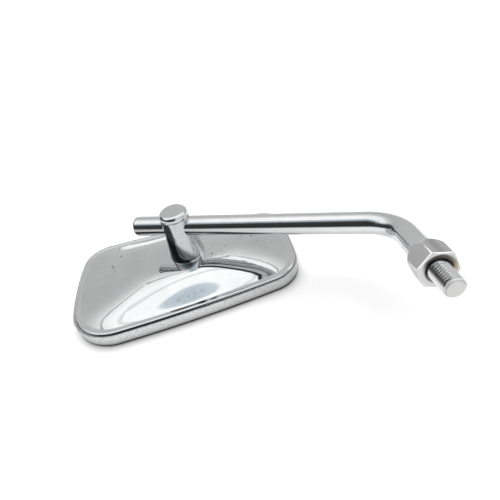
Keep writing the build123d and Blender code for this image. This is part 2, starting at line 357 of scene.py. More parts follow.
def pits_group():
    """Scattered pits where the plating has broken through, thicker in patches."""
    group, given, made = new_group(
        "plating_pits",
        "ShaderNodeTree",
        (
            ("Position", VECTOR, None),
            ("Spacing Scale", NUMBER, 260.0),
            ("Pit Size", NUMBER, 0.2),
            ("Patch Cover", NUMBER, 0.5),
        ),
        (("Pits", NUMBER), ("Stain", NUMBER)),
    )
    patch_sharpness, pit_sharpness, stain_sharpness, stain_width = 6.0, 14.0, 3.0, 0.45
    raggedness = 0.16
    step = partial(math_node, group)
    position = given.outputs["Position"]
    cells = add_node(group, "ShaderNodeTexVoronoi", {"Randomness": 1.0})
    patch = noise(group, position, scale=38.0, detail=2.0)
    covered = step("SUBTRACT", patch, given.outputs["Patch Cover"])
    covered = step("MULTIPLY", covered, patch_sharpness, clamp=True)
    size = step("MULTIPLY", given.outputs["Pit Size"], covered)
    wobble = noise(group, position, scale=900.0, detail=2.0)
    ragged = step("MULTIPLY_ADD", wobble, raggedness, -0.5 * raggedness)
    inside = step("SUBTRACT", size, step("ADD", cells.outputs["Distance"], ragged))
    halo = step("MULTIPLY_ADD", inside, stain_sharpness, stain_width, clamp=True)
    link_sockets(
        group,
        (position, cells.inputs["Vector"]),
        (given.outputs["Spacing Scale"], cells.inputs["Scale"]),
        (step("MULTIPLY", inside, pit_sharpness, clamp=True), made.inputs["Pits"]),
        (step("MULTIPLY", halo, covered), made.inputs["Stain"]),
    )
    return group


polish_marks = polish_marks_group()
plating_pits = pits_group()


# Finishes


def new_material(name, **values):
    """A material with plain values set on its shader's own sockets."""
    material = bpy.data.materials.new(name)
    material.use_nodes = True
    shader = material.node_tree.nodes["Principled BSDF"]
    for socket, value in values.items():
        label = socket.replace("_", " ").title().replace("Ior", "IOR")
        shader.inputs[label].default_value = value
    return material, material.node_tree, shader


def object_position(tree):
    return tree.nodes.new("ShaderNodeTexCoord").outputs["Object"]


def mesh_value(tree, name):
    """A value that a mesh keeps on its points."""
    return add_node(tree, "ShaderNodeAttribute", attribute_name=name).outputs["Fac"]


def place_group(tree, group, position, **values):
    """The outputs of a shared effect placed in a material, with its own values."""
    node = add_node(tree, "ShaderNodeGroup", node_tree=group)
    tree.links.new(position, node.inputs["Position"])
    for socket, value in values.items():
        node.inputs[socket.replace("_", " ").title()].default_value = value
    return node.outputs


def dimmed(colour, share):
    return tuple(share * part for part in colour)


def add_rust(tree, position, surface, centre, reach):
    """Tan rust and dark pits about a point."""
    away = vector_node(tree, "DISTANCE", position, centre)
    near = fade(tree, away, reach, RUST_CORE * reach)
    broken = place_group(
        tree, plating_pits, position, spacing_scale=420.0, pit_size=0.3, patch_cover=0.3
    )
    tan = math_node(tree, "MULTIPLY", near, broken["Stain"])
    surface = mix_colours(tree, math_node(tree, "MULTIPLY", tan, RUST_SHARE), surface, RUST)
    return mix_colours(tree, math_node(tree, "MULTIPLY", near, broken["Pits"]), surface, RUST_PIT)


def add_scuffs(tree, position, rough, begins, fills):
    """Rubbed patches between two places along the arm."""
    rubs = noise(tree, position, scale=260.0, detail=3.0, roughness=0.7, distortion=0.6)
    patch = fade(tree, rubs, begins=0.57, fills=0.62, most=SCUFF_ROUGHNESS)
    reach = fade(tree, place_along(tree, position, ALONG_ARM), begins, fills)
    return math_node(tree, "MULTIPLY_ADD", patch, reach, rough)


def plated_material(
    name,
    colour,
    roughness,
    cloud_roughness,
    hairline_roughness,
    pits,
    grain=0.06,
    tone_bands=(),
    rust=None,
    scuffs=None,
    underside=None,
):
    """Bright plating with hairlines, cloudiness and pits.

    Each tone band takes a direction, the places along it where it begins and fills, and a tone; the
    bands paint shade and highlight, and darken the stub's end. Rust takes its centre and reach,
    scuffs the places along the arm where they begin and fill, and the underside a tone of painted
    shade for where the mesh says that it faces down.
    """
    material, tree, shader = new_material(name, metallic=1.0)
    position = object_position(tree)
    marks = place_group(tree, polish_marks, position)
    spots = place_group(tree, plating_pits, position, **pits)
    surface = mix_colours(tree, marks["Cloud"], colour, dimmed(colour, CLOUD_DIMMING))
    speckle = fade(tree, marks["Grain"], begins=0.45, fills=0.7, most=grain)
    surface = mix_colours(tree, speckle, surface, dimmed(colour, GRAIN_DIMMING))
    stain = math_node(tree, "MULTIPLY", spots["Stain"], STAIN_SHARE)
    surface = mix_colours(tree, stain, surface, STAIN)
    surface = mix_colours(tree, spots["Pits"], surface, PIT)
    if rust:
        surface = add_rust(tree, position, surface, *rust)
    if underside:
        surface = mix_colours(tree, mesh_value(tree, "underside"), surface, underside)
    for direction, begins, fills, tone in tone_bands:
        share = fade(tree, place_along(tree, position, direction), begins, fills)
        surface = mix_colours(tree, share, surface, tone)
    rough = math_node(tree, "MULTIPLY_ADD", marks["Cloud"], cloud_roughness, roughness)
    rough = math_node(tree, "MULTIPLY_ADD", marks["Hairlines"], hairline_roughness, rough)
    rough = math_node(tree, "MULTIPLY_ADD", spots["Pits"], PIT_ROUGHNESS, rough, clamp=True)
    if scuffs:
        rough = add_scuffs(tree, position, rough, *scuffs)
    height = math_node(tree, "MULTIPLY_ADD", spots["Pits"], -PIT_DEPTH, marks["Hairlines"])
    height = math_node(tree, "MULTIPLY_ADD", marks["Grain"], GRAIN_HEIGHT * grain, height)
    bump = add_node(tree, "ShaderNodeBump", {"Strength": MARK_STRENGTH, "Distance": MARK_HEIGHT})
    link_sockets(
        tree,
        (surface, shader.inputs["Base Color"]),
        (rough, shader.inputs["Roughness"]),
        (height, bump.inputs["Height"]),
        (bump.outputs[0], shader.inputs["Normal"]),
    )
    return material


def uneven_material(
    name,
    colour,
    clouded,
    roughness,
    rough_mark=None,
    rough_gain=0.0,
    hairline_scale=400.0,
    **values,
):
    """A plain finish with clouded patches, rougher where one of the polish marks lies."""
    material, tree, shader = new_material(name, **values)
    position = object_position(tree)
    marks = place_group(tree, polish_marks, position, hairline_scale=hairline_scale)
    rough = roughness
    if rough_mark:
        rough = math_node(tree, "MULTIPLY_ADD", marks[rough_mark], rough_gain, roughness)
    feed(tree, shader.inputs["Base Color"], mix_colours(tree, marks["Cloud"], colour, clouded))
    feed(tree, shader.inputs["Roughness"], rough)
    return material


def steel_material(name, colour, roughness, metallic=1.0):
    return uneven_material(
        name,
        colour,
        dimmed(colour, STEEL_CLOUD_DIMMING),
        roughness,
        rough_mark="Hairlines",
        rough_gain=0.12,
        hairline_scale=250.0,
        metallic=metallic,
    )


def nut_material():
    """Satin plating, rusted beside the hole, with painted shade inside it, and worn front edges
    painted white as a highlight.
    """
    material, tree, shader = new_material("nut_plating", metallic=1.0)
    step = partial(math_node, tree)
    position = object_position(tree)
    marks = place_group(tree, polish_marks, position, hairline_scale=700.0)
    spots = place_group(
        tree, plating_pits, position, spacing_scale=420.0, pit_size=0.2, patch_cover=0.52
    )
    away = vector_node(tree, "DISTANCE", position, nut_front + NUT_RUST_PLACE)
    near = fade(tree, away, NUT_RUST_REACH, NUT_RUST_CORE)
    patchy = step("MULTIPLY_ADD", marks["Cloud"], NUT_RUST_CLOUDING, NUT_RUST_LEAST)
    rust = step("MULTIPLY", near, patchy)
    cloud = step("MULTIPLY", marks["Cloud"], NUT_CLOUD_SHARE)
    surface = mix_colours(tree, cloud, NUT_SATIN, NUT_CLOUDED)
    surface = mix_colours(tree, rust, surface, NUT_RUST)
    surface = mix_colours(tree, spots["Pits"], surface, NUT_PIT)
    # Painted shade in the hole, centred a little above the axis
    from_hole = away_from_leg(tree, position, nut_front + UP * HOLE_SHADE_LIFT)
    surface = mix_colours(tree, fade(tree, from_hole, HOLE_SHADE_REACH, HOLE_SHADE_CORE), surface, HOLE_SHADE)
    # Worn front edges painted white: wear and a painted highlight
    front = places_from(nut_front.dot(leg_axis), WORN_HIGHLIGHT_PAST_FRONT)
    near_front = fade(tree, place_along(tree, position, leg_axis), *front)
    outer = fade(tree, away_from_leg(tree, position, nut_front), *WORN_HIGHLIGHT_RADII)
    worn_highlight = step("MULTIPLY", near_front, outer)
    rough = step("MULTIPLY_ADD", marks["Hairlines"], NUT_HAIRLINE_ROUGHNESS, NUT_ROUGHNESS)
    link_sockets(
        tree,
        (mix_colours(tree, worn_highlight, surface, BARE_STEEL_AND_HIGHLIGHT), shader.inputs["Base Color"]),
        (step("MULTIPLY_ADD", worn_highlight, -PLAIN_WHITE_SHARE, 1.0), shader.inputs["Metallic"]),
        (step("MULTIPLY_ADD", rust, NUT_RUST_ROUGHNESS, rough), shader.inputs["Roughness"]),
    )
    return material


def thread_material():
    """Bright cut thread, with painted shade in the roots, and chalky on the turned end."""
    material, tree, shader = new_material("cut_thread", metallic=1.0)
    step = partial(math_node, tree)
    marks = place_group(tree, polish_marks, object_position(tree), hairline_scale=600.0)
    # Painted shade, deepest in the thread's roots
    deep = step("POWER", mesh_value(tree, "thread_root"), THREAD_SHADE_POWER)
    end = mesh_value(tree, "turned_end")
    surface = mix_colours(tree, deep, BARE_STEEL_AND_HIGHLIGHT, THREAD_ROOT_SHADE)
    rough = step("MULTIPLY_ADD", marks["Cloud"], THREAD_CLOUD_ROUGHNESS, THREAD_ROUGHNESS)
    link_sockets(
        tree,
        (mix_colours(tree, end, surface, TURNED_STEEL), shader.inputs["Base Color"]),
        (step("MULTIPLY_ADD", end, -PLAIN_WHITE_SHARE, 1.0), shader.inputs["Metallic"]),
        (step("MULTIPLY_ADD", end, TURNED_ROUGHNESS, rough), shader.inputs["Roughness"]),
    )
    return material


shell_chrome = plated_material(
    "shell_chrome",
    CHROME,
    roughness=0.016,
    cloud_roughness=0.02,
    hairline_roughness=0.06,
    pits={"spacing_scale": 330.0, "pit_size": 0.2, "patch_cover": 0.53},
    # Painted shade in the seam just above the rim
    tone_bands=((UP, *SEAM_SHADE_HEIGHTS, SHADE_BLACK),),
    rust=(post_foot + SHELL_RUST_PLACE, SHELL_RUST_REACH),
)
stub_end_x = clamp_point.x - STUB_LENGTH
rod_chrome = plated_material(
    "rod_chrome",
    CHROME,
    roughness=0.04,
    cloud_roughness=0.05,
    hairline_roughness=0.06,
    pits={"spacing_scale": 500.0, "pit_size": 0.2, "patch_cover": 0.58},
    tone_bands=(
        (ALONG_ARM, *places_from(stub_end_x, STUB_EDGE_WIDTHS), STUB_EDGE),
        (ALONG_ARM, *places_from(stub_end_x, STUB_FACE_WIDTHS), STUB_FACE),
    ),
    scuffs=places_from(clamp_point.x, SCUFF_REACHES),
    # Painted shade where the rod faces down
    underside=UNDERSIDE_SHADE,
)
cap_chrome = plated_material(
    "cap_chrome",
    CHROME,
    roughness=0.07,
    cloud_roughness=0.06,
    hairline_roughness=0.08,
    pits={"spacing_scale": 450.0, "pit_size": 0.2, "patch_cover": 0.56},
)
sleeve_foot = SLEEVE_LEAN.dot(post_foot)
sleeve_chrome = plated_material(
    "sleeve_chrome",
    SLEEVE_CHROME,
    roughness=0.07,
    cloud_roughness=0.1,
    hairline_roughness=0.1,
    pits={"spacing_scale": 450.0, "pit_size": 0.22, "patch_cover": 0.54},
    grain=0.8,
    # Painted shade low on the sleeve's left side, then a painted highlight along its foot
    tone_bands=(
        (SLEEVE_LEAN, *places_from(sleeve_foot, SLEEVE_SHADE_RISES), SLEEVE_SHADE),
        (UP, *places_from(post_foot.z, SLEEVE_FOOT_HIGHLIGHT_RISES), CHROME),
    ),
)
rim_chrome = plated_material(
    "rim_chrome",
    RIM_CHROME,
    roughness=0.14,
    cloud_roughness=0.14,
    hairline_roughness=0.1,
    pits={"spacing_scale": 900.0, "pit_size": 0.22, "patch_cover": 0.5},
    grain=0.9,
    # Painted shade, darker towards the rim's foot, with the lowest lip left plain chrome
    tone_bands=(
        (UP, *RIM_FOOT_SHADE_HEIGHTS, RIM_FOOT_SHADE),
        (UP, *RIM_CONTACT_SHADE_HEIGHTS, SHADE_BLACK),
        (UP, *RIM_LIP_HEIGHTS, RIM_CHROME),
    ),
)
nut_plating = nut_material()
worn_edge_highlight = steel_material(
    "worn_edge_highlight", BARE_STEEL_AND_HIGHLIGHT, roughness=NUT_ROUGHNESS, metallic=1.0 - PLAIN_WHITE_SHARE
)
cut_thread = thread_material()
zinc_steel = steel_material("zinc_steel", ZINC, roughness=0.32)
spring_steel = steel_material("spring_steel", SPRING_GREY, roughness=0.38)
black_rubber = uneven_material(
    "black_rubber",
    RUBBER_BLACK,
    RUBBER_BLOOM,
    roughness=0.62,
    rough_mark="Cloud",
    rough_gain=0.15,
    hairline_scale=200.0,
    specular_ior_level=0.4,
)
white_nylon = uneven_material("white_nylon", NYLON_WHITE, NYLON_AGED, roughness=0.45)
silvered_glass = uneven_material(
    "silvered_glass",
    SILVER,
    SILVER_HAZE,
    roughness=0.015,
    rough_mark="Hairlines",
    rough_gain=0.05,
    hairline_scale=300.0,
    metallic=1.0,
)

FINISH = {
    "clamp_bolt": cap_chrome,
    "post_sleeve": sleeve_chrome,
    "back_shell": shell_chrome,
    "rim": rim_chrome,
    "mirror_glass": silvered_glass,
    "glazing_gasket": black_rubber,
    "backing_pad": black_rubber,
    "stiffener_plate": zinc_steel,
    "friction_washer": white_nylon,
    "disc_spring": spring_steel,
    "retaining_nut": zinc_steel,
    "arm": rod_chrome,
    "lock_nut": nut_plating,
}
for name, finish in FINISH.items():
    nodes[name].data.materials.clear()
    nodes[name].data.materials.append(finish)


# The arm's trees, one swept and one threaded


def store_value(tree, geometry, name, value):
    """Keeps a value on a mesh's points, for a material to read."""
    node = add_node(
        tree, "GeometryNodeStoreNamedAttribute", {"Name": name}, data_type="FLOAT", domain="POINT"
    )
    tree.links.new(geometry, node.inputs["Geometry"])
    feed(tree, node.inputs["Value"], value)
    return node.outputs[0]


def shade_and_finish(tree, geometry, result, material, crisp_degrees):
    """Smooth shading with crisp edges, then a plain mesh with its material."""
    angle = tree.nodes.new("GeometryNodeInputMeshEdgeAngle")
    crisp = add_node(
        tree,
        "FunctionNodeCompare",
        {1: math.radians(crisp_degrees)},
        data_type="FLOAT",
        operation="GREATER_THAN",
    )
    smooth = add_node(tree, "GeometryNodeSetShadeSmooth", {"Shade Smooth": True}, domain="FACE")
    keep = add_node(tree, "GeometryNodeSetShadeSmooth", {"Shade Smooth": False}, domain="EDGE")
    realize = tree.nodes.new("GeometryNodeRealizeInstances")
    finish = add_node(tree, "GeometryNodeSetMaterial", {"Material": material})
    link_sockets(
        tree,
        (geometry, smooth.inputs["Geometry"]),
        (smooth.outputs[0], keep.inputs["Geometry"]),
        (angle.outputs["Unsigned Angle"], crisp.inputs[0]),
        (crisp.outputs[0], keep.inputs["Selection"]),
        (keep.outputs[0], realize.inputs[0]),
        (realize.outputs[0], finish.inputs["Geometry"]),
        (finish.outputs[0], result),
    )


def rod_tree(material):
    """Sweeps a round bar along a bent path, with its first end rounded and its underside marked."""
    tree, given, made = new_group(
        "bent_rod",
        "GeometryNodeTree",
        (
            ("Path", GEOMETRY, None),
            ("Rod Radius", NUMBER, 1.0),
            ("Bend Radius", NUMBER, 1.0),
            ("Bend Steps", COUNT, 8),
            ("Sides", COUNT, 16),
            ("End Round", NUMBER, 0.1),
            ("Underside Start", NUMBER, 0.0),
            ("Underside End", NUMBER, 1.0),
        ),
        (("Rod", GEOMETRY),),
    )
    size = given.outputs
    step = partial(math_node, tree)
    from_start = tree.nodes.new("GeometryNodeSplineParameter").outputs["Length"]
    clear_of_end = step("MULTIPLY", size["End Round"], 2.0)
    only_the_bend = step("GREATER_THAN", from_start, clear_of_end)
    short = step("SUBTRACT", 1.0, step("DIVIDE", from_start, size["End Round"]), clamp=True)
    rise = step("SQRT", step("SUBTRACT", 1.0, step("MULTIPLY", short, short)))
    lost = step("MULTIPLY", step("SUBTRACT", 1.0, rise), size["End Round"])
    bend = add_node(tree, "GeometryNodeFilletCurve", mode="POLY")
    ring = tree.nodes.new("GeometryNodeCurvePrimitiveCircle")
    sweep = add_node(tree, "GeometryNodeCurveToMesh", {"Fill Caps": True})
    link_sockets(
        tree,
        (size["Path"], bend.inputs["Curve"]),
        (step("MULTIPLY", size["Bend Radius"], only_the_bend), bend.inputs["Radius"]),
        (size["Bend Steps"], bend.inputs["Count"]),
        (size["Sides"], ring.inputs["Resolution"]),
        (size["Rod Radius"], ring.inputs["Radius"]),
        (bend.outputs[0], sweep.inputs["Curve"]),
        (ring.outputs["Curve"], sweep.inputs["Profile Curve"]),
        (step("SUBTRACT", 1.0, step("DIVIDE", lost, size["Rod Radius"])), sweep.inputs["Scale"]),
    )
    # The rod's underside, marked for painted shade
    normal = tree.nodes.new("GeometryNodeInputNormal").outputs[0]
    position = tree.nodes.new("GeometryNodeInputPosition").outputs[0]
    begins = fade(
        tree,
        place_along(tree, position, ALONG_ARM),
        size["Underside Start"],
        size["Underside End"],
        UNDERSIDE_BY_POST,
        UNDERSIDE_BY_BEND,
    )
    below = step("SUBTRACT", begins, place_along(tree, normal, UP))
    below = step("MULTIPLY", below, UNDERSIDE_SHARPNESS, clamp=True)
    rod = store_value(tree, sweep.outputs[0], "underside", below)
    shade_and_finish(tree, rod, made.inputs["Rod"], material, crisp_degrees=25)
    return tree


def thread_tree(material):
    """Rolls a grid into a plain neck and a screw thread along Z, and closes both ends."""
    tree, given, made = new_group(
        "threaded_stud",
        "GeometryNodeTree",
        (
            ("Blank", GEOMETRY, None),
            ("Neck Radius", NUMBER, 1.0),
            ("Neck Length", NUMBER, 1.0),
            ("Root Radius", NUMBER, 1.0),
            ("Crest Radius", NUMBER, 1.0),
            ("Pitch", NUMBER, 1.0),
            ("Length", NUMBER, 1.0),
            ("End Chamfer", NUMBER, 0.1),
            ("Sides", COUNT, 16),
            ("Rows", COUNT, 16),
        ),
        (("Stud", GEOMETRY),),
    )
    size = given.outputs
    step = partial(math_node, tree)
    grid = add_node(tree, "GeometryNodeMeshGrid", {"Size X": 1.0, "Size Y": 1.0})
    position = tree.nodes.new("GeometryNodeInputPosition")
    split = tree.nodes.new("ShaderNodeSeparateXYZ")
    link_sockets(
        tree,
        (step("ADD", size["Sides"], 1), grid.inputs["Vertices X"]),
        (size["Rows"], grid.inputs["Vertices Y"]),
        (position.outputs[0], split.inputs[0]),
    )

    # The radius at each point: neck, thread, then the chamfer's limit
    turn = step("ADD", split.outputs["X"], 0.5)
    along = step("MULTIPLY", step("ADD", split.outputs["Y"], 0.5), size["Length"])
    turns = step("DIVIDE", step("SUBTRACT", along, size["Neck Length"]), size["Pitch"])
    phase = step("FRACT", step("SUBTRACT", turns, turn))
    ridge = step("ABSOLUTE", step("MULTIPLY_ADD", phase, 2.0, -1.0))
    ridge = step("MULTIPLY_ADD", ridge, 1 + 2 * THREAD_FLAT, -THREAD_FLAT, clamp=True)
    depth = step("SUBTRACT", size["Crest Radius"], size["Root Radius"])
    cut = step("MULTIPLY_ADD", ridge, depth, size["Root Radius"])
    started = step("MULTIPLY", turns, THREAD_DEEPENING, clamp=True)
    neck = step("MULTIPLY", size["Neck Radius"], step("SUBTRACT", 1.0, started))
    radius = step("ADD", step("MULTIPLY", cut, started), neck)
    from_end = step("SUBTRACT", size["Length"], along)
    tip_radius = step("SUBTRACT", size["Crest Radius"], size["End Chamfer"])
    radius = step("MINIMUM", radius, step("ADD", tip_radius, from_end))

    # What the material reads, kept before the grid is rolled up
    # How deep a point lies in a root, for painted shade in the roots and on the chamfer
    below = step("DIVIDE", step("SUBTRACT", size["Crest Radius"], radius), depth, clamp=True)
    chamfered = step("LESS_THAN", from_end, size["End Chamfer"])
    chamfer_shade = step("MULTIPLY", chamfered, CHAMFER_SHADE)
    root = step("MAXIMUM", step("MULTIPLY", below, started), chamfer_shade)
    marked = store_value(tree, grid.outputs["Mesh"], "thread_root", root)
    chalk = step("MULTIPLY", chamfered, CHAMFER_CHALK)
    marked = store_value(tree, marked, "turned_end", chalk)

    angle = step("MULTIPLY", turn, 2 * math.pi)
    point = tree.nodes.new("ShaderNodeCombineXYZ")
    roll = tree.nodes.new("GeometryNodeSetPosition")
    tip = add_node(tree, "GeometryNodeMeshCircle", fill_type="NGON")
    tip_place = tree.nodes.new("GeometryNodeTransform")
    tip_shift = tree.nodes.new("ShaderNodeCombineXYZ")
    heel = add_node(tree, "GeometryNodeMeshCircle", fill_type="NGON")
    heel_flip = tree.nodes.new("GeometryNodeFlipFaces")
    join = tree.nodes.new("GeometryNodeJoinGeometry")
    weld = add_node(tree, "GeometryNodeMergeByDistance", {"Distance": WELD_DISTANCE})
    link_sockets(
        tree,
        (step("MULTIPLY", radius, step("COSINE", angle)), point.inputs["X"]),
        (step("MULTIPLY", radius, step("SINE", angle)), point.inputs["Y"]),
        (along, point.inputs["Z"]),
        (marked, roll.inputs["Geometry"]),
        (point.outputs[0], roll.inputs["Position"]),
        (size["Sides"], tip.inputs["Vertices"]),
        (tip_radius, tip.inputs["Radius"]),
        (store_value(tree, tip.outputs[0], "turned_end", 1.0), tip_place.inputs["Geometry"]),
        (size["Length"], tip_shift.inputs["Z"]),
        (tip_shift.outputs[0], tip_place.inputs["Translation"]),
        (size["Sides"], heel.inputs["Vertices"]),
        (size["Neck Radius"], heel.inputs["Radius"]),
        (heel.outputs[0], heel_flip.inputs[0]),
        (roll.outputs[0], join.inputs[0]),
        (tip_place.outputs[0], join.inputs[0]),
        (heel_flip.outputs[0], join.inputs[0]),
        (join.outputs[0], weld.inputs["Geometry"]),
    )
    shade_and_finish(
        tree, weld.outputs[0], made.inputs["Stud"], material, crisp_degrees=38
    )
    return tree


# Pieces that take the place of packed ones


def add_object(name, data):
    thing = bpy.data.objects.new(name, data)
    scene.collection.objects.link(thing)
    return thing


def frozen_mesh(carrier, name):
    """What an object's modifiers make, as a plain mesh; the object itself is dropped."""
    bpy.context.view_layer.update()
    graph = bpy.context.evaluated_depsgraph_get()
    mesh = bpy.data.meshes.new_from_object(carrier.evaluated_get(graph), depsgraph=graph)
    mesh.name = name
    carrier.modifiers.clear()
    bpy.data.objects.remove(carrier)
    return mesh


def made_by_tree(name, base, tree, sizes):
    """A plain mesh object made by a tree of geometry nodes on a base object."""
    carrier = add_object(f"{name}_carrier", base)
    modifier = carrier.modifiers.new(name, "NODES")
    modifier.node_group = tree
    for item in tree.interface.items_tree:
        if item.item_type == "SOCKET" and item.in_out == "INPUT" and item.name in sizes:
            modifier[item.identifier] = sizes[item.name]
    return add_object(name, frozen_mesh(carrier, name))


def welded_copy(node_name):
    """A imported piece's mesh, opened for editing with its seams closed."""
    shape = bmesh.new()
    shape.from_mesh(nodes[node_name].data)
    bmesh.ops.remove_doubles(shape, verts=shape.verts, dist=WELD_DISTANCE)
    return shape


def mesh_from(shape, name, *materials):
    """A mesh from an edited shape, with its materials."""
    mesh = bpy.data.meshes.new(name)
    shape.to_mesh(mesh)
    shape.free()
    for material in materials:
        mesh.materials.append(material)
    return mesh


def smooth_piece(name, mesh, sharp_degrees):
    """An object shaded smoothly, apart from its sharp edges."""
    mesh.shade_smooth()
    mesh.set_sharp_from_angle(angle=math.radians(sharp_degrees))
    return add_object(name, mesh)


def face_outward(mesh):
    shape = bmesh.new()
    shape.from_mesh(mesh)
    if shape.calc_volume(signed=True) < 0:
        bmesh.ops.reverse_faces(shape, faces=shape.faces)
    shape.to_mesh(mesh)
    shape.free()


def make_bent_rod():
    """The rod along its centre line, from the stub's rounded end to the shoulder under the nut."""
    shoulder = nut_front - leg_axis * NUT_LENGTH
    stub_end = clamp_point - ALONG_ARM * STUB_LENGTH
    turns = [math.radians(90 * number / STUB_STEPS) for number in range(STUB_STEPS + 1)]
    rounded = [stub_end + ALONG_ARM * STUB_ROUND * (1 - math.cos(turn)) for turn in turns]
    straight = stub_end + ALONG_ARM * STUB_STRAIGHT
    points = (*rounded, straight, clamp_point + ALONG_ARM * ARM_REACH, shoulder)
    path = bpy.data.curves.new("rod_path", "CURVE")
    path.dimensions = "3D"
    spline = path.splines.new("POLY")
    spline.points.add(len(points) - 1)
    for spot, point in zip(spline.points, points):
        spot.co = (*point, 1)
    sizes = {
        "Rod Radius": ROD_RADIUS,
        "Bend Radius": BEND_RADIUS,
        "Bend Steps": BEND_STEPS,
        "Sides": ROD_SIDES,
        "End Round": STUB_ROUND,
        "Underside Start": clamp_point.x,
        "Underside End": clamp_point.x + UNDERSIDE_REACH,
    }
    return made_by_tree("bent_rod", path, rod_tree(rod_chrome), sizes)


def make_threaded_stud():
    """The stud, from the shoulder through the nut to its chamfered end."""
    length = NUT_LENGTH + STUD_FREE_LENGTH
    sizes = {
        "Neck Radius": NECK_RADIUS,
        "Neck Length": NUT_LENGTH - THREAD_LEAD_IN,
        "Root Radius": THREAD_ROOT,
        "Crest Radius": THREAD_CREST,
        "Pitch": THREAD_PITCH,
        "Length": length,
        "End Chamfer": STUD_CHAMFER,
        "Sides": STUD_SIDES,
        "Rows": 1 + round(length / THREAD_PITCH * ROWS_PER_TURN),
    }
    blank = bpy.data.meshes.new("stud_blank")
    piece = made_by_tree("threaded_stud", blank, thread_tree(cut_thread), sizes)
    start = Matrix.Translation(nut_front - leg_axis * NUT_LENGTH)
    piece.data.transform(start @ leg_axis.to_track_quat("Z", "Y").to_matrix().to_4x4())
    return piece


def make_eased_nut():
    """The lock nut with its sharp edges eased, their faces worn white: wear and a painted
    highlight.
    """
    shape = welded_copy("lock_nut")
    level = math.radians(NUT_LEVEL_DEGREES)
    bmesh.ops.dissolve_limit(shape, angle_limit=level, verts=shape.verts, edges=shape.edges)
    eased_edges = shape.edges.layers.float.new("bevel_weight_edge")
    sharp = math.radians(NUT_SHARP_DEGREES)
    for edge in shape.edges:
        if edge.calc_length() > NUT_SHORT_EDGE and edge.calc_face_angle(0) > sharp:
            edge[eased_edges] = 1.0
    mesh = mesh_from(shape, "eased_nut", nut_plating, worn_edge_highlight)
    carrier = add_object("eased_nut_carrier", mesh)
    ease = carrier.modifiers.new("ease", "BEVEL")
    ease.width = NUT_EASED_EDGE
    ease.segments = 2
    ease.limit_method = "WEIGHT"
    ease.use_clamp_overlap = False
    # The eased faces take the worn edge's plain white, a painted highlight
    ease.material = mesh.materials.find("worn_edge_highlight")
    return smooth_piece("eased_nut", frozen_mesh(carrier, "eased_nut"), sharp_degrees=18)


def make_rounded_cap():
    """The clamp bolt with its head's edge rolled over more fully."""
    shape = welded_copy("clamp_bolt")
    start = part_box("clamp_bolt")[1][2] - CAP_ROUND
    bmesh.ops.bisect_plane(
        shape,
        geom=shape.verts[:] + shape.edges[:] + shape.faces[:],
        plane_co=(0, 0, start),
        plane_no=UP,
        clear_outer=True,
    )
    ring = [edge for edge in shape.edges if edge.is_boundary]
    for number in range(1, CAP_STEPS + 1):
        turn = math.radians(90 * number / CAP_STEPS)
        grown = bmesh.ops.extrude_edge_only(shape, edges=ring)["geom"]
        edges = [part for part in grown if isinstance(part, bmesh.types.BMEdge)]
        ring = [edge for edge in edges if edge.is_boundary]
        reach = CAP_RADIUS - CAP_ROUND * (1 - math.cos(turn))
        for corner in {corner for edge in ring for corner in edge.verts}:
            outward = (corner.co - clamp_point).xy.normalized() * reach
            corner.co = (*(clamp_point.xy + outward), start + CAP_ROUND * math.sin(turn))
    bmesh.ops.edgeloop_fill(shape, edges=ring)
    bmesh.ops.recalc_face_normals(shape, faces=shape.faces)
    return smooth_piece(
        "rounded_cap", mesh_from(shape, "rounded_cap", cap_chrome), sharp_degrees=35
    )


for piece, body, node, slot in (
    (make_rounded_cap(), "clamp", "clamp_bolt", "chrome"),
    (make_bent_rod(), "arm", "arm", "chrome"),
    (make_threaded_stud(), "arm", "arm", "chrome"),
    (make_eased_nut(), "lock_nut", "lock_nut", "nut_plating"),
):
    face_outward(piece.data)
    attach(piece, body)
    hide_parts(node)


# Studio and camera

# Brightness on screen by the angle in degrees: straight ahead is 0, overhead is 90, and behind the
# camera is 180. Each side of the room goes on where the ceiling ends.
BELOW_TABLE = ((-180, 120), (-168, 215), (-8, 224))
WALL_AHEAD = ((4, 188), (20, 185), (40, 179), (48, 187), (57, 212), (62.6, 230))
CEILING_EDGE = ((63.4, 110), (64.2, 238))
CEILING = ((74, 254), (79.5, 254), (80.5, 224), (83, 224), (84, 254), (99.5, 254))
ROOM = BELOW_TABLE + WALL_AHEAD + CEILING_EDGE + CEILING
DARK_SIDE = ((101, 198), (105, 172), (111, 124), (122, 74), (132, 56), (165, 45), (174, 75))
LIGHT_SIDE = ((105, 228), (125, 208), (165, 203))

# A broken bright window behind, in degrees as above
WINDOW = (0.58, 0.7, 0.8)
WINDOW_BEGINS = (99.5, 100.5)
WINDOW_ENDS = (124, 112)

# Where the room's right side and its dark left corner begin and fill: how far a direction leans
# to the right, or for the corner's top upward, from -1 to 1
RIGHT_SIDE = (-0.05, 0.35)
LEFT_CORNER = (-0.68, -0.8)
CORNER_TOP = (0.7, 0.4)
DARK_CORNER = (0.045, 0.046, 0.05)
MIDDLE_LIGHT = 1.1
SIDE_LIGHT_LOST = 0.24
SOFT_LIGHT = 0.4

# The table: as lit, and as the metal mirrors it near the part and far from it, in metres
TABLE_HALF = 4.0
TABLE_NEAR_TO_FAR = (0.17, 0.75)
TABLE_WHITE = (0.93, 0.93, 0.93)
TABLE_MIRRORED_NEAR = (0.76, 0.76, 0.76)
TABLE_MIRRORED_FAR = (0.45, 0.45, 0.46)
TABLE_GLOW_NEAR = 0.1


def to_linear(level):
    """A level on screen, from 0 to 255, as light."""
    share = level / 255
    return share / 12.92 if share <= 0.04045 else ((share + 0.055) / 1.055) ** 2.4


def turn_share(degrees):
    """An angle as a share of the whole turn, from behind and below."""
    return (degrees + 180) / 360


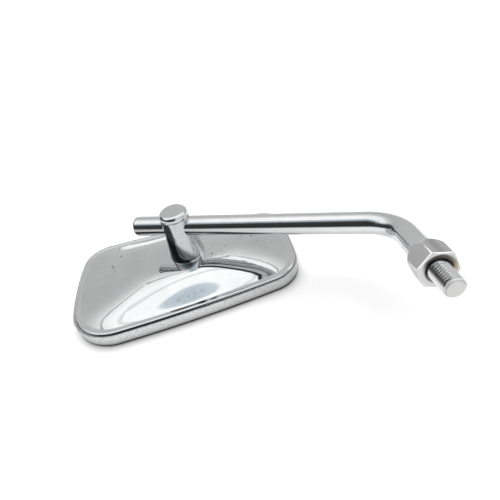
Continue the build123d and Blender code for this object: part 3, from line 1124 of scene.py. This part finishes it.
def make_camera():
    data = bpy.data.cameras.new("photo_camera")
    data.sensor_width = 36
    data.lens = data.sensor_width * FOCAL_PIXELS / PHOTO_SIDE
    data.clip_start = 1 * MM
    camera = add_object("photo_camera", data)
    right = VIEW_RIGHT.normalized()
    up = -(VIEW_DOWN - VIEW_DOWN.dot(right) * right).normalized()
    turn = Matrix((right, up, right.cross(up))).transposed().to_4x4()
    camera.matrix_world = Matrix.Translation(clamp_point + EYE_FROM_CLAMP) @ turn
    scene.camera = camera


def room_ramp(tree, share, stops):
    """A grey ramp over the angles, from levels as they look on screen."""
    ramp = tree.nodes.new("ShaderNodeValToRGB")
    marks = ramp.color_ramp.elements
    marks.remove(marks[-1])
    for number, (degrees, level) in enumerate(stops):
        mark = marks.new(turn_share(degrees)) if number else marks[0]
        value = to_linear(level)
        mark.color = (value, value, value, 1)
    tree.links.new(share, ramp.inputs[0])
    return ramp.outputs["Color"]


def make_world():
    """A white ceiling, a grey wall ahead, and a room dark on the left and lighter on the right."""
    world = bpy.data.worlds.new("studio")
    scene.world = world
    world.use_nodes = True
    tree = world.node_tree
    tree.nodes.clear()
    step = partial(math_node, tree)
    soft_fade = partial(fade, tree, shape="SMOOTHSTEP")
    front = VIEW_RIGHT.cross(VIEW_DOWN)
    ahead = Vector((front.x, front.y, 0)).normalized()
    across = Vector((ahead.y, -ahead.x, 0))
    direction = tree.nodes.new("ShaderNodeTexCoord").outputs["Generated"]
    height = place_along(tree, direction, UP)
    side = place_along(tree, direction, across)
    angle = step("ARCTAN2", height, place_along(tree, direction, ahead))
    share = step("MULTIPLY_ADD", angle, 0.5 / math.pi, 0.5)
    room = mix_colours(
        tree,
        soft_fade(side, *RIGHT_SIDE),
        room_ramp(tree, share, ROOM + DARK_SIDE),
        room_ramp(tree, share, ROOM + LIGHT_SIDE),
    )
    begun = fade(tree, share, *map(turn_share, WINDOW_BEGINS))
    not_ended = fade(tree, share, *map(turn_share, WINDOW_ENDS))
    panes = noise(tree, direction, scale=100.0, detail=2.0, roughness=0.7)
    panes = fade(tree, panes, begins=0.4, fills=0.62, least=0.15)
    window = step("MULTIPLY", step("MULTIPLY", begun, not_ended), panes)
    room = mix_colours(tree, window, room, WINDOW)
    corner = step("MULTIPLY", soft_fade(side, *LEFT_CORNER), soft_fade(height, *CORNER_TOP))
    room = mix_colours(tree, corner, room, DARK_CORNER)
    strength = step("MULTIPLY_ADD", step("MULTIPLY", side, side), -SIDE_LIGHT_LOST, MIDDLE_LIGHT)
    rays = tree.nodes.new("ShaderNodeLightPath").outputs
    seen = add_node(tree, "ShaderNodeBackground")
    soft = add_node(
        tree, "ShaderNodeBackground", {"Color": (1, 1, 1, 1), "Strength": SOFT_LIGHT}
    )
    either = tree.nodes.new("ShaderNodeMixShader")
    output = tree.nodes.new("ShaderNodeOutputWorld")
    backdrop = mix_colours(tree, rays["Is Camera Ray"], room, (1.0, 1.0, 1.0))
    mirrored = step("MAXIMUM", rays["Is Glossy Ray"], rays["Is Transmission Ray"])
    link_sockets(
        tree,
        (backdrop, seen.inputs["Color"]),
        (step("MAXIMUM", strength, rays["Is Camera Ray"]), seen.inputs["Strength"]),
        (step("MAXIMUM", rays["Is Camera Ray"], mirrored), either.inputs[0]),
        (soft.outputs[0], either.inputs[1]),
        (seen.outputs[0], either.inputs[2]),
        (either.outputs[0], output.inputs[0]),
    )


def make_floor():
    """A white table, which glows for the camera and greys with distance where it is mirrored."""
    half = TABLE_HALF
    corners = [(-half, -half, 0), (half, -half, 0), (half, half, 0), (-half, half, 0)]
    mesh = bpy.data.meshes.new("white_table")
    mesh.from_pydata(corners, [], [(0, 1, 2, 3)])
    floor = add_object("white_table", mesh)
    material, tree, shader = new_material(
        "white_table", roughness=1.0, specular_ior_level=0.0, emission_color=(1, 1, 1, 1)
    )
    rays = tree.nodes.new("ShaderNodeLightPath").outputs
    away = vector_node(tree, "LENGTH", object_position(tree))
    far = fade(tree, away, *TABLE_NEAR_TO_FAR)
    mirrored = mix_colours(tree, far, TABLE_MIRRORED_NEAR, TABLE_MIRRORED_FAR)
    surface = mix_colours(tree, rays["Is Glossy Ray"], TABLE_WHITE, mirrored)
    glow = math_node(tree, "ADD", far, TABLE_GLOW_NEAR)
    glow = math_node(tree, "MULTIPLY", rays["Is Camera Ray"], glow)
    link_sockets(
        tree,
        (surface, shader.inputs["Base Color"]),
        (glow, shader.inputs["Emission Strength"]),
    )
    mesh.materials.append(material)


def make_lamp():
    """A broad soft panel overhead, a little behind the mirror, hidden from the metal."""
    data = bpy.data.lights.new("overhead_panel", "AREA")
    data.shape = "RECTANGLE"
    data.size = 1.2
    data.size_y = 0.9
    data.energy = 11.0
    lamp = add_object("overhead_panel", data)
    lamp.location = (-0.1, 0.25, 0.9)
    lamp.rotation_euler = (-lamp.location).to_track_quat("-Z", "Y").to_euler()
    lamp.visible_glossy = False
    lamp.visible_camera = False


make_camera()
make_world()
make_floor()
make_lamp()
